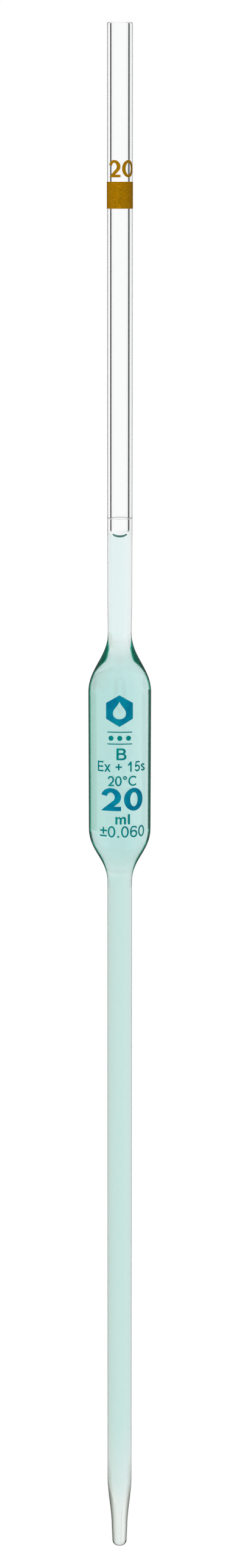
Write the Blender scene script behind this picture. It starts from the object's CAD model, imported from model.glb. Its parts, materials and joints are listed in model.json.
# Looks for the 20 ml volumetric pipette: smooth glass, green liquid, fired enamel and a white studio.
import json
import math

import bpy
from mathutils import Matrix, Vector

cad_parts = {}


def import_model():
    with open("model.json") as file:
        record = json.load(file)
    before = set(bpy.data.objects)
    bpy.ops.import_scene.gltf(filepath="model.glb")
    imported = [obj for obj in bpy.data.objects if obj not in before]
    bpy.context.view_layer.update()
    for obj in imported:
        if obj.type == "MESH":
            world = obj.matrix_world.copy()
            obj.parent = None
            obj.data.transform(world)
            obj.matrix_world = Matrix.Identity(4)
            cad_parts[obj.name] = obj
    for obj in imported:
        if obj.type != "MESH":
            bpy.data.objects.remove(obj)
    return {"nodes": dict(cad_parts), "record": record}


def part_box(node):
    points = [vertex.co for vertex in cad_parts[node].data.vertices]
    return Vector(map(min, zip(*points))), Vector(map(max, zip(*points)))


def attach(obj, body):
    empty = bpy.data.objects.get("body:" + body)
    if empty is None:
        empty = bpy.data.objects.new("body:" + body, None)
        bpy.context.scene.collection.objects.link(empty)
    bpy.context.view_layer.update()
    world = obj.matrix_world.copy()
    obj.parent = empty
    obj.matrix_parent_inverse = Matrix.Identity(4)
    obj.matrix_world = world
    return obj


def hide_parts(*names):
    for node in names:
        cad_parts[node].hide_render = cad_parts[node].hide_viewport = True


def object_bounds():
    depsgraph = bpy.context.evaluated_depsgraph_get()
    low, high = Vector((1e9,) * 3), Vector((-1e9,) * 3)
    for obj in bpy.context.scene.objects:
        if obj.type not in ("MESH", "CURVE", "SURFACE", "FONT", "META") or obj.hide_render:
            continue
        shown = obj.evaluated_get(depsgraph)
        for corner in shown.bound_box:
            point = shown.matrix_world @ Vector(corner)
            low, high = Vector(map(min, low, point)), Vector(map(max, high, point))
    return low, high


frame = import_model()
cad_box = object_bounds()

MM = 0.001

# Places taken from the frame.
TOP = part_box("suction_tube")[1].z
UPPER_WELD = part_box("bulb")[1].z
LOWER_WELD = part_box("bulb")[0].z
JET_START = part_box("delivery_jet")[1].z
SUCTION_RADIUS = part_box("suction_tube")[1].x
BULB_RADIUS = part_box("bulb")[1].x
DELIVERY_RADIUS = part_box("delivery_jet")[1].x
LIQUID_CLEARANCE = 0.05 * MM
BULB_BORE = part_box("liquid_column")[1].x + LIQUID_CLEARANCE
LIQUID_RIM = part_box("liquid_column")[1].z

# The glass profile, in metres.
SUCTION_BORE = 2.7 * MM
DELIVERY_BORE = 2.65 * MM
NECK_RADIUS = 3.98 * MM
WAIST_RADIUS = 3.84 * MM
BULB_TAPER = 0.13 * MM
BULB_FOOT_RADIUS = BULB_RADIUS - BULB_TAPER
NECK_START = 372 * MM
NECK_END = 318 * MM
SHOULDER_START = 288.2 * MM
SHOULDER_PULL = 7.65 * MM
FOOT_START = 243.7 * MM
FOOT_END = 226 * MM
FOOT_PULL = 7.55 * MM
JET_FLAT_RADIUS = 1.15 * MM
JET_ROUND = 1.85 * MM
JET_SHANK_RADIUS = 2.37 * MM
JET_SHANK_START = 8.8 * MM
JET_FILLET = 0.24 * MM
JET_FILLET_DROP = 2 * MM
JET_PULL = 5 * MM
WAIST_PULL = 3 * MM
ORIFICE_RADIUS = 0.4 * MM
CAPILLARY_FLARE = 0.05 * MM
CAPILLARY_MOUTH = 0.15 * MM
CAPILLARY_MOUTH_RISE = 2 * MM
BORE_LAG = 1 * MM
TOP_ROUND = 0.45 * MM
TOP_BORE_ROUND = 0.3 * MM
MENISCUS_DEPTH = 2.5 * MM

# The liquid's skin lies this far inside the glass, so that no film of air parts them.
WETTING = 0.02 * MM

SEGMENTS = 160
CURVE_STEPS = 32
ROUND_STEPS = 10
WAIST_STEPS = 8
BOWL_STEPS = 24
FLOOR_STEPS = 64
ON_AXIS = 1e-9
LONGEST_STEP = 4 * MM
SHARP_CORNER = math.radians(35)

GLASS_IOR = 1.47
LIQUID_IOR = 1.333

WHITE = (1, 1, 1, 1)
BLACK = (0, 0, 0, 1)
DELIVERY_TINT = (0.74, 0.87, 0.84, 1)
JET_TINT = (0.86, 0.9, 0.88, 1)
COLLAR_REACH = (0.32, 0.32, 0.32, 1)


# ---- geometry ----

def eased(start, end, pull, steps=CURVE_STEPS):
    """An S-shaped run of (radius, height) points, vertical at both ends."""
    towards = math.copysign(pull, end[1] - start[1])
    corners = [start, (start[0], start[1] + towards), (end[0], end[1] - towards), end]
    points = []
    for i in range(steps + 1):
        t = i / steps
        weights = ((1 - t) ** 3, 3 * t * (1 - t) ** 2, 3 * t * t * (1 - t), t ** 3)
        radius = sum(w * c[0] for w, c in zip(weights, corners))
        height = sum(w * c[1] for w, c in zip(weights, corners))
        points.append((radius, height))
    return points


def quarter(centre, reach, rise, start, end, steps=ROUND_STEPS):
    """A quarter of an ellipse, between two angles in degrees."""
    angles = [math.radians(start + (end - start) * i / steps) for i in range(steps + 1)]
    return [(centre[0] + reach * math.cos(a), centre[1] + rise * math.sin(a)) for a in angles]


def outer_profile():
    reach = JET_SHANK_RADIUS - JET_FLAT_RADIUS
    shank_top = (JET_SHANK_RADIUS + JET_FILLET, JET_SHANK_START - JET_FILLET_DROP)
    return [
        *quarter((JET_FLAT_RADIUS, JET_ROUND), reach, JET_ROUND, -90, 0),
        *eased(shank_top, (DELIVERY_RADIUS, JET_START), JET_PULL),
        *eased((DELIVERY_RADIUS, FOOT_END), (BULB_FOOT_RADIUS, FOOT_START), FOOT_PULL),
        *eased((BULB_RADIUS, SHOULDER_START), (WAIST_RADIUS, UPPER_WELD), SHOULDER_PULL),
        *eased((WAIST_RADIUS, UPPER_WELD), (NECK_RADIUS, NECK_END), WAIST_PULL, WAIST_STEPS),
        (SUCTION_RADIUS, NECK_START),
        *quarter((SUCTION_RADIUS - TOP_ROUND, TOP - TOP_ROUND), TOP_ROUND, TOP_ROUND, 0, 90),
    ]


def bore_profile():
    wall = BULB_RADIUS - BULB_BORE
    mouth = (SUCTION_BORE + TOP_BORE_ROUND, TOP - TOP_BORE_ROUND)
    cone = (ORIFICE_RADIUS + CAPILLARY_MOUTH, JET_SHANK_START + CAPILLARY_MOUTH_RISE)
    return [
        (ORIFICE_RADIUS, 0),
        (ORIFICE_RADIUS + CAPILLARY_FLARE, JET_SHANK_START),
        *eased(cone, (DELIVERY_BORE, JET_START + BORE_LAG), JET_PULL),
        *eased((DELIVERY_BORE, FOOT_END), (BULB_FOOT_RADIUS - wall, FOOT_START), FOOT_PULL),
        *eased((BULB_BORE, SHOULDER_START), (SUCTION_BORE, UPPER_WELD - BORE_LAG), SHOULDER_PULL),
        *quarter(mouth, TOP_BORE_ROUND, TOP_BORE_ROUND, 180, 90),
    ]


def even(profile):
    """The same profile with its long stretches cut into short ones, which keeps the shading true."""
    points = [profile[0]]
    for start, end in zip(profile, profile[1:]):
        count = max(1, math.ceil(math.dist(start, end) / LONGEST_STEP))
        for i in range(1, count + 1):
            share = i / count
            points.append(tuple(a + (b - a) * share for a, b in zip(start, end)))
    return points


def below(profile, high):
    """The stretch of a profile under a height, ending exactly at it."""
    inside = [p for p in profile if p[1] < high]
    start, end = profile[len(inside) - 1], profile[len(inside)]
    share = (high - start[1]) / (end[1] - start[1])
    return [*inside, (start[0] + (end[0] - start[0]) * share, high)]


def revolve(name, loop, closed):
    """A smooth solid of revolution about Z. A loop that isn't closed starts and ends on the axis."""
    vertices = []
    rings = []
    for radius, height in loop:
        if radius <= ON_AXIS:
            rings.append([len(vertices)])
            vertices.append((0, 0, height))
            continue
        rings.append(list(range(len(vertices), len(vertices) + SEGMENTS)))
        for i in range(SEGMENTS):
            angle = 2 * math.pi * i / SEGMENTS
            vertices.append((radius * math.cos(angle), radius * math.sin(angle), height))
    faces = []
    pairs = list(zip(rings, rings[1:]))
    if closed:
        pairs.append((rings[-1], rings[0]))
    for lower, upper in pairs:
        for i in range(SEGMENTS):
            j = (i + 1) % SEGMENTS
            if len(lower) == 1:
                faces.append((lower[0], upper[j], upper[i]))
            elif len(upper) == 1:
                faces.append((lower[i], lower[j], upper[0]))
            else:
                faces.append((lower[i], lower[j], upper[j], upper[i]))
    mesh = bpy.data.meshes.new(name)
    mesh.from_pydata(vertices, [], faces)
    mesh.validate()
    mesh.shade_smooth()
    mesh.set_sharp_from_angle(angle=SHARP_CORNER)
    piece = bpy.data.objects.new(name, mesh)
    bpy.context.scene.collection.objects.link(piece)
    return piece


OUTER = even(outer_profile())
BORE = even(bore_profile())


# ---- materials ----

class Nodes:
    """A short way to write a node tree."""

    def __init__(self, name):
        self.material = bpy.data.materials.new(name)
        self.material.use_nodes = True
        self.tree = self.material.node_tree
        self.shader = self.tree.nodes["Principled BSDF"]
        self.output = self.tree.nodes["Material Output"]

    def add(self, kind, settings=(), **inputs):
        node = self.tree.nodes.new(kind)
        for key, value in dict(settings).items():
            setattr(node, key, value)
        for key, value in inputs.items():
            self.feed(node.inputs[key.replace("_", " ")], value)
        return node

    def feed(self, socket, value):
        if isinstance(value, bpy.types.NodeSocket):
            self.tree.links.new(value, socket)
        else:
            socket.default_value = value

    def set(self, **inputs):
        for key, value in inputs.items():
            self.feed(self.shader.inputs[key.replace("_", " ")], value)

    def object_noise(self, scale, stretch=(1, 1, 1), detail=3.0):
        place = self.add("ShaderNodeTexCoord")
        spread = self.add("ShaderNodeMapping", Scale=stretch)
        self.tree.links.new(place.outputs["Object"], spread.inputs["Vector"])
        noise = self.add("ShaderNodeTexNoise", Scale=scale, Detail=detail)
        self.tree.links.new(spread.outputs["Vector"], noise.inputs["Vector"])
        return noise.outputs["Fac"]

    def ramp(self, factor, *stops):
        node = self.add("ShaderNodeValToRGB")
        self.tree.links.new(factor, node.inputs["Fac"])
        elements = node.color_ramp.elements
        while len(elements) < len(stops):
            elements.new(0.5)
        for element, (position, color) in zip(elements, stops):
            element.position = position
            element.color = color
        return node.outputs["Color"]

    def by_height(self, *stops):
        """A colour that changes up the pipette, with each stop at its height in metres."""
        place = self.add("ShaderNodeTexCoord")
        split = self.add("ShaderNodeSeparateXYZ")
        self.feed(split.inputs[0], place.outputs["Object"])
        share = self.add("ShaderNodeMapRange", From_Min=0, From_Max=TOP)
        self.feed(share.inputs["Value"], split.outputs["Z"])
        spots = [(height / TOP, color) for height, color in stops]
        return self.ramp(share.outputs["Result"], *spots)

    def blend(self, kind, factor, base, other):
        node = self.add("ShaderNodeMix", {"data_type": "RGBA", "blend_type": kind})
        self.feed(node.inputs[0], factor)
        self.feed(node.inputs[6], base)
        self.feed(node.inputs[7], other)
        return node.outputs[2]

    def bump(self, height, strength, distance):
        node = self.add("ShaderNodeBump", Strength=strength, Distance=distance)
        self.tree.links.new(height, node.inputs["Height"])
        self.feed(self.shader.inputs["Normal"], node.outputs["Normal"])

    def absorb(self, color, density):
        volume = self.add("ShaderNodeVolumeAbsorption", Color=color, Density=density)
        self.tree.links.new(volume.outputs["Volume"], self.output.inputs["Volume"])


def drawn_glass(nodes, tint):
    """The parts of the glass that the skin and the bore share: long faint striae and a clean gloss."""
    striae = nodes.object_noise(900, (1, 1, 0.02))
    streak = nodes.ramp(striae, (0.3, (0.985, 0.99, 0.99, 1)), (0.7, WHITE))
    nodes.set(
        Base_Color=nodes.blend("MULTIPLY", 1.0, tint, streak),
        Roughness=0.0,
        IOR=GLASS_IOR,
        Transmission_Weight=1.0,
    )
    nodes.bump(striae, 0.01, 0.0001)


def glass_skin():
    """The outside of the glass, tinted by height.

    It darkens where it is seen at a grazing angle: green on the bulb and grey at the jet.
    """
    nodes = Nodes("glass_skin")
    body = nodes.by_height((JET_START, JET_TINT), (JET_START + 20 * MM, DELIVERY_TINT),
                           (FOOT_END, DELIVERY_TINT), (FOOT_START, WHITE))
    bulb = nodes.by_height((FOOT_END, BLACK), (FOOT_END + 4 * MM, WHITE),
                           (UPPER_WELD - 1.5 * MM, WHITE), (UPPER_WELD, BLACK))
    jet = nodes.by_height((JET_START - 6 * MM, WHITE), (JET_START + 8 * MM, BLACK))
    collar = nodes.by_height((UPPER_WELD - 11 * MM, BLACK), (UPPER_WELD - 9 * MM, COLLAR_REACH),
                             (UPPER_WELD - 3.5 * MM, COLLAR_REACH), (UPPER_WELD - 2 * MM, BLACK))
    facing = nodes.add("ShaderNodeLayerWeight", Blend=0.5).outputs["Facing"]
    reached = nodes.blend("ADD", 1.0, facing, collar)
    green_edge = nodes.ramp(reached, (0.6, WHITE), (0.65, (0.02, 0.5, 0.25, 1)),
                            (0.73, (0.0, 0.12, 0.06, 1)), (0.95, (0.0, 0.1, 0.05, 1)))
    grey_edge = nodes.ramp(facing, (0.24, WHITE), (0.44, (0.35, 0.36, 0.32, 1)), (0.62, (0.1, 0.1, 0.09, 1)))
    pale_edge = nodes.ramp(facing, (0.55, WHITE), (0.8, (0.5, 0.52, 0.52, 1)))
    tint = nodes.blend("MULTIPLY", 1.0, body, pale_edge)
    tint = nodes.blend("MULTIPLY", bulb, tint, green_edge)
    drawn_glass(nodes, nodes.blend("MULTIPLY", jet, tint, grey_edge))
    return nodes.material


def glass_bore():
    """The inside of the glass."""
    nodes = Nodes("glass_bore")
    drawn_glass(nodes, WHITE)
    return nodes.material


def solution():
    """The pale green aqueous solution."""
    nodes = Nodes("green_solution")
    nodes.set(Base_Color=WHITE, Roughness=0.0, IOR=LIQUID_IOR, Transmission_Weight=1.0)
    nodes.absorb((0.0, 0.645, 0.592, 1), 38.0)
    return nodes.material


def enamel(name, dark, light, grain, roughness):
    """Fired enamel: mottled at a fine grain, with a soft gloss and an uneven surface."""
    nodes = Nodes(name)
    mottle = nodes.object_noise(grain, detail=5.0)
    nodes.set(
        Base_Color=nodes.ramp(mottle, (0.35, dark), (0.65, light)),
        Roughness=roughness,
        Specular_IOR_Level=0.05,
    )
    nodes.bump(mottle, 0.15, 0.00005)
    return nodes.material


# ---- the pipette ----

def glass_body():
    """The welded glass, one continuous wall from the jet to the top, as it leaves the lamp."""
    piece = revolve("glass_body", [*OUTER, *reversed(BORE)], closed=True)
    piece.data.materials.append(glass_skin())
    piece.data.materials.append(glass_bore())
    skin_faces = (len(OUTER) - 1) * SEGMENTS
    for face in piece.data.polygons:
        face.material_index = int(face.index >= skin_faces)
    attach(piece, "root")
    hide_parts("suction_tube", "bulb", "delivery_tube", "delivery_jet")


def solution_body():
    """The liquid, wetting the bore up to a hollow meniscus."""
    wall = [(radius + WETTING, height) for radius, height in below(BORE, LIQUID_RIM)]
    bowl = quarter((0, LIQUID_RIM), SUCTION_BORE + WETTING, MENISCUS_DEPTH, 0, -90, BOWL_STEPS)[1:-1]
    loop = [(0, 0), *wall, *bowl, (0, LIQUID_RIM - MENISCUS_DEPTH)]
    piece = revolve("solution", loop, closed=False)
    piece.data.materials.append(solution())
    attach(piece, "root")
    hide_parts("liquid_column")


glass_body()
solution_body()

COATS = {
    "amber_enamel": enamel("amber_coat", (0.24, 0.125, 0.0, 1), (0.54, 0.235, 0.0, 1), 3500, 0.45),
    "teal_enamel": enamel("teal_coat", (0.0, 0.2, 0.22, 1), (0.0, 0.27, 0.25, 1), 500, 0.5),
    "pale_enamel": enamel("pale_coat", (0.7, 0.71, 0.71, 1), (0.85, 0.86, 0.86, 1), 2500, 0.5),
}
THICK_TEAL = enamel("thick_teal_coat", (0.0, 0.17, 0.31, 1), (0.0, 0.26, 0.37, 1), 350, 0.5)
THICK_PRINT = {"capacity_digit_2", "capacity_digit_0", "emblem_hexagon"}
for part in frame["record"]["subparts"]:
    coat = THICK_TEAL if part["node"] in THICK_PRINT else COATS.get(part["material_slot"])
    if coat:
        node = frame["nodes"][part["node"]]
        node.data.materials.clear()
        node.data.materials.append(coat)


# ---- studio ----

FLOOR_HEIGHT = -0.012
FLOOR_RADIUS = 0.3
LENGTH = cad_box[1][2] - cad_box[0][2]
EYE_DISTANCE = 2.3675 * LENGTH
EYE_HEIGHT = 0.901 * LENGTH
EYE_TILT = 9.23
EYE_ASIDE = -0.00185
LENS = 85
SENSOR = 36
NEAREST = 0.01
BACKDROP_DISTANCE = 3.0
LIGHT_BOUNCES = 48
DIFFUSE_WORLD = 0.45
REFLECTED_WORLD = 0.12


def emission(name, color=None):
    """A plain glowing material, in one colour or in the mesh's own shades."""
    material = bpy.data.materials.new(name)
    material.use_nodes = True
    tree = material.node_tree
    tree.nodes.clear()
    glow = tree.nodes.new("ShaderNodeEmission")
    if color:
        glow.inputs["Color"].default_value = color
    else:
        shade = tree.nodes.new("ShaderNodeVertexColor")
        shade.layer_name = "shade"
        tree.links.new(shade.outputs["Color"], glow.inputs["Color"])
    output = tree.nodes.new("ShaderNodeOutputMaterial")
    tree.links.new(glow.outputs["Emission"], output.inputs["Surface"])
    return material


def stage_object(mesh):
    stage = bpy.data.objects.new(mesh.name, mesh)
    bpy.context.scene.collection.objects.link(stage)
    return stage


def floor():
    """A pale round light table under the jet."""
    angles = [2 * math.pi * i / FLOOR_STEPS for i in range(FLOOR_STEPS)]
    rim = [(FLOOR_RADIUS * math.cos(a), FLOOR_RADIUS * math.sin(a), FLOOR_HEIGHT) for a in angles]
    mesh = bpy.data.meshes.new("floor")
    mesh.from_pydata(rim, [], [tuple(range(FLOOR_STEPS))])
    mesh.materials.append(emission("floor", WHITE))
    table = stage_object(mesh)
    table.visible_transmission = False
    table.visible_glossy = False


def shade_at(bearing, stops):
    """The backdrop's colour at a bearing, between the two stops nearest it."""
    if bearing <= stops[0][0]:
        return stops[0][1]
    for (start, low), (end, high) in zip(stops, stops[1:]):
        if bearing <= end:
            share = (bearing - start) / (end - start)
            return tuple(a + (b - a) * share for a, b in zip(low, high))
    return stops[-1][1]


def backdrop(name, low, high, stops):
    """A graded backdrop that only the glass sees, behind one stretch of the pipette.

    Bearings run in degrees from +Y towards +X. The eye's lines through the two heights give its edges.
    """
    spread = BACKDROP_DISTANCE / EYE_DISTANCE
    bottom, top = (height + (height - EYE_HEIGHT) * spread for height in (low, high))
    first, last = stops[0][0], stops[-1][0]
    steps = math.ceil(last - first)
    vertices, shades, faces = [], [], []
    for i in range(steps + 1):
        bearing = first + (last - first) * i / steps
        x = BACKDROP_DISTANCE * math.sin(math.radians(bearing))
        y = BACKDROP_DISTANCE * math.cos(math.radians(bearing))
        vertices += [(x, y, bottom), (x, y, top)]
        shades += [(*shade_at(bearing, stops), 1)] * 2
    for i in range(steps):
        faces.append((2 * i, 2 * i + 2, 2 * i + 3, 2 * i + 1))
    mesh = bpy.data.meshes.new(name)
    mesh.from_pydata(vertices, [], faces)
    layer = mesh.color_attributes.new("shade", "FLOAT_COLOR", "POINT")
    for spot, shade in zip(layer.data, shades):
        spot.color = shade
    mesh.materials.append(emission(name))
    hide_from_all_but_glass(stage_object(mesh))


def hide_from_all_but_glass(stage):
    stage.visible_camera = False
    stage.visible_diffuse = False
    stage.visible_glossy = False
    stage.visible_shadow = False


def world():
    """White to the eye and through glass, softer where it lights the print, and dim in reflections."""
    scene_world = bpy.data.worlds.new("studio")
    bpy.context.scene.world = scene_world
    scene_world.use_nodes = True
    tree = scene_world.node_tree
    tree.nodes.clear()
    path = tree.nodes.new("ShaderNodeLightPath")
    seen = tree.nodes.new("ShaderNodeMath")
    seen.operation = "MAXIMUM"
    tree.links.new(path.outputs["Is Camera Ray"], seen.inputs[0])
    tree.links.new(path.outputs["Is Transmission Ray"], seen.inputs[1])
    unseen = tree.nodes.new("ShaderNodeMapRange")
    unseen.inputs["To Min"].default_value = REFLECTED_WORLD
    unseen.inputs["To Max"].default_value = DIFFUSE_WORLD
    tree.links.new(path.outputs["Is Diffuse Ray"], unseen.inputs["Value"])
    strength = tree.nodes.new("ShaderNodeMapRange")
    strength.inputs["To Max"].default_value = 1.0
    tree.links.new(seen.outputs[0], strength.inputs["Value"])
    tree.links.new(unseen.outputs["Result"], strength.inputs["To Min"])
    glow = tree.nodes.new("ShaderNodeBackground")
    glow.inputs["Color"].default_value = WHITE
    tree.links.new(strength.outputs["Result"], glow.inputs["Strength"])
    output = tree.nodes.new("ShaderNodeOutputWorld")
    tree.links.new(glow.outputs["Background"], output.inputs["Surface"])


def soft_light(name, place, size, power):
    data = bpy.data.lights.new(name, "AREA")
    data.shape = "RECTANGLE"
    data.size, data.size_y = size
    data.energy = power
    lamp = bpy.data.objects.new(name, data)
    lamp.location = place
    lamp.rotation_euler = (Vector((0, 0, LENGTH / 2)) - Vector(place)).to_track_quat("-Z", "Y").to_euler()
    lamp.visible_glossy = False
    lamp.visible_transmission = False
    bpy.context.scene.collection.objects.link(lamp)


def camera():
    """An 85 mm lens, level with the colour band and pitched down to centre the pipette."""
    data = bpy.data.cameras.new("camera")
    data.lens = LENS
    data.sensor_width = SENSOR
    data.clip_start = NEAREST
    rig = bpy.data.objects.new("camera", data)
    rig.location = (EYE_ASIDE, -EYE_DISTANCE, EYE_HEIGHT)
    rig.rotation_euler = (math.pi / 2 - math.radians(EYE_TILT), 0, 0)
    bpy.context.scene.collection.objects.link(rig)
    bpy.context.scene.camera = rig


PLAIN = (1.0, 1.0, 1.0)
DARK = (0.03, 0.03, 0.028)
DEEP_GREEN = (0.004, 0.05, 0.024)
PALE_GREY = (0.62, 0.64, 0.64)

floor()
backdrop("backdrop_top", LIQUID_RIM, TOP + 0.05, [
    (-68, DARK), (-43, DARK), (-41, PLAIN), (0, PLAIN), (20, PLAIN), (40, (0.75, 0.78, 0.8)),
    (44, DARK), (70, DARK),
])
backdrop("backdrop_neck", UPPER_WELD, LIQUID_RIM, [
    (-75, PALE_GREY), (-43, PALE_GREY), (-41, PLAIN), (0, PLAIN), (44, (0.85, 0.95, 0.93)),
    (52, PALE_GREY), (82, PALE_GREY),
])
backdrop("backdrop_bulb", LOWER_WELD, UPPER_WELD, [
    (-75, DEEP_GREEN), (-42, DEEP_GREEN), (-40, PLAIN), (-10, PLAIN), (10, (0.93, 0.97, 0.96)),
    (25, (0.82, 0.91, 0.87)), (38, (0.62, 0.8, 0.72)), (50, (0.5, 0.72, 0.62)), (52, DEEP_GREEN),
    (80, DEEP_GREEN),
])
backdrop("backdrop_foot", -0.03, LOWER_WELD, [
    (-4, PLAIN), (8, (0.96, 0.97, 0.96)), (20, (0.87, 0.89, 0.86)), (44, (0.7, 0.73, 0.7)),
    (82, (0.6, 0.62, 0.6)),
])
world()
soft_light("key_light", (-0.5, -1.6, 1.0), (1.0, 1.0), 17)
camera()
bpy.context.scene.view_settings.view_transform = "Standard"

# Light travels far along the liquid before it leaves at the shoulder.
cycles = bpy.context.scene.cycles
cycles.max_bounces = cycles.transmission_bounces = cycles.glossy_bounces = LIGHT_BOUNCES
